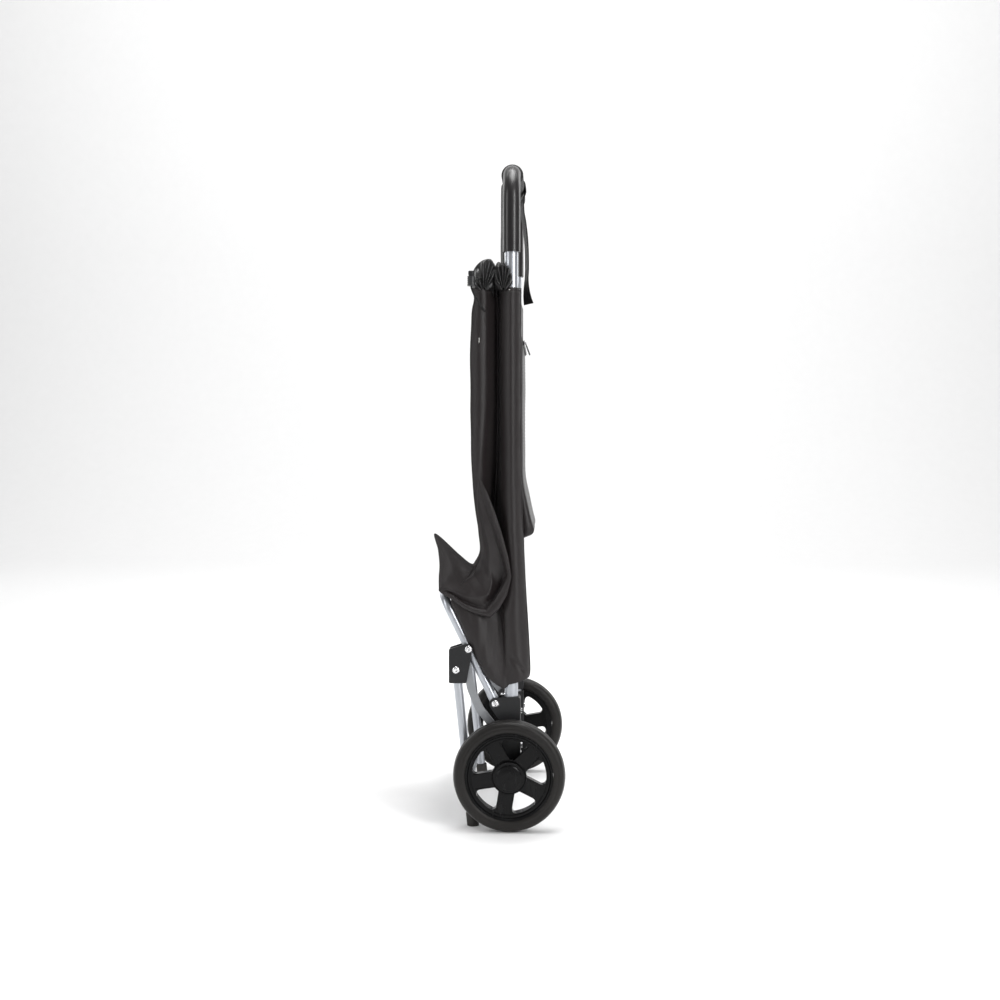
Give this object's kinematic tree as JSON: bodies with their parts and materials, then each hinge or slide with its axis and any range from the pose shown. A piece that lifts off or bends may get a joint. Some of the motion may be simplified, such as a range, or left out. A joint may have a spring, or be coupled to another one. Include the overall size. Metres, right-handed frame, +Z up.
{
  "type": "folding shopping trolley",
  "caption": "Folding shopping trolley shown folded: tubular handle frame on two spoked wheels, collapsed fabric bag, fold-up platform and swing-out foot.",
  "frame": {"origin": "on the floor under the middle of the folded trolley's outline", "axes": "+Z up; +Y to the rear, towards the user who pulls it; +X to that user's left, along the axle"},
  "size_m": [0.3972, 0.1868, 0.9596],
  "materials": {
    "silver_tube": "bright silver lacquer",
    "handle_sleeve": "smooth black vinyl",
    "grip_foam": "fine foam",
    "bright_steel": "zinc plated",
    "bag_cloth": "coated polyester weave",
    "webbing": "woven tape",
    "lock_grey": "moulded",
    "bracket_plastic": "moulded, fine grain",
    "zip_tape": "coil zip",
    "board": "corrugated sheet",
    "link_steel": "grey zinc plated",
    "cap_rubber": "moulded",
    "tyre": "satin rubber",
    "rim_plastic": "satin moulded",
    "nylon": "nylon"
  },
  "bodies": {
    "frame": {"handle_frame": "silver_tube", "handle_sleeve": "handle_sleeve", "grip": "grip_foam", "axle": "bright_steel", "axle_tube": "silver_tube", "axle_washers": "bright_steel", "push_nuts": "bright_steel", "axle_housing_left": "bracket_plastic", "axle_housing_right": "bracket_plastic", "housing_screws": "bright_steel", "pivot_bracket_left": "bracket_plastic", "pivot_bracket_right": "bracket_plastic", "bracket_screws": "bright_steel", "fold_rivets": "bright_steel", "link_rivets": "bright_steel", "bag_back_panel": "bag_cloth", "bag_front_panel": "bag_cloth", "bag_sleeve_left": "bag_cloth", "bag_sleeve_right": "bag_cloth", "bag_gusset_left": "bag_cloth", "bag_gusset_right": "bag_cloth", "bag_collar": "bag_cloth", "hang_strap": "webbing", "drawstring_tape": "webbing", "cord_lock_body": "lock_grey", "cord_lock_spring": "bright_steel", "rear_pocket": "bag_cloth", "pocket_zip": "zip_tape"},
    "platform": {"platform_tube": "silver_tube", "base_board": "board", "bag_base": "bag_cloth", "bag_front_fold": "bag_cloth"},
    "foot": {"foot_frame": "silver_tube", "foot_bracket_left": "bracket_plastic", "foot_bracket_right": "bracket_plastic", "foot_rivets": "bright_steel", "link_pins": "bright_steel", "foot_cap_left": "cap_rubber", "foot_cap_right": "cap_rubber"},
    "link_left": {"folding_link_left": "link_steel"},
    "link_right": {"folding_link_right": "link_steel"},
    "wheel_left": {"tyre_left": "tyre", "rim_left": "rim_plastic", "bush_left": "nylon", "hub_cap_left": "rim_plastic"},
    "wheel_right": {"tyre_right": "tyre", "rim_right": "rim_plastic", "bush_right": "nylon", "hub_cap_right": "rim_plastic"},
    "lock_button": {"cord_lock_button": "bracket_plastic"},
    "zip_slider": {"zip_slider": "bright_steel"},
    "zip_pull": {"zip_pull": "bracket_plastic"}
  },
  "joints": [
    {"name": "platform_fold", "type": "hinge", "parent": "frame", "child": "platform", "pos_m": [0, -0.0069, 0.1789], "axis": [1, 0, 0], "range_deg": [0, 63.84]},
    {"name": "foot_swing", "type": "hinge", "parent": "platform", "child": "foot", "pos_m": [0, -0.0455, 0.2575], "axis": [1, 0, 0], "range_deg": [-92.2, 0]},
    {"name": "link_left_swing", "type": "hinge", "parent": "frame", "child": "link_left", "pos_m": [0.15, -0.0041, 0.1365], "axis": [1, 0, 0], "range_deg": [0, 54.6]},
    {"name": "link_right_swing", "type": "hinge", "parent": "frame", "child": "link_right", "pos_m": [-0.15, -0.0041, 0.1365], "axis": [1, 0, 0], "range_deg": [0, 54.6]},
    {"name": "wheel_left_spin", "type": "hinge", "parent": "frame", "child": "wheel_left", "pos_m": [0.18, 0.0134, 0.08], "axis": [1, 0, 0], "continuous": true},
    {"name": "wheel_right_spin", "type": "hinge", "parent": "frame", "child": "wheel_right", "pos_m": [-0.18, 0.0134, 0.08], "axis": [1, 0, 0], "continuous": true},
    {"name": "lock_button_press", "type": "slide", "parent": "frame", "child": "lock_button", "axis": [0, 0, -1], "range_m": [0, 0.002], "stiffness_N_per_m": 800},
    {"name": "zip_slide", "type": "slide", "parent": "frame", "child": "zip_slider", "axis": [-1, 0, 0], "range_m": [0, 0.23]},
    {"name": "zip_pull_swing", "type": "hinge", "parent": "zip_slider", "child": "zip_pull", "pos_m": [0.116, 0.0354, 0.697], "axis": [1, 0, 0], "range_deg": [-18, 120]}
  ],
  "couplings": [
    {"joint": "foot_swing", "follows": "platform_fold", "ratio": -1.4427},
    {"joint": "link_left_swing", "follows": "platform_fold", "ratio": 0.8535},
    {"joint": "link_right_swing", "follows": "platform_fold", "ratio": 0.8535}
  ]
}
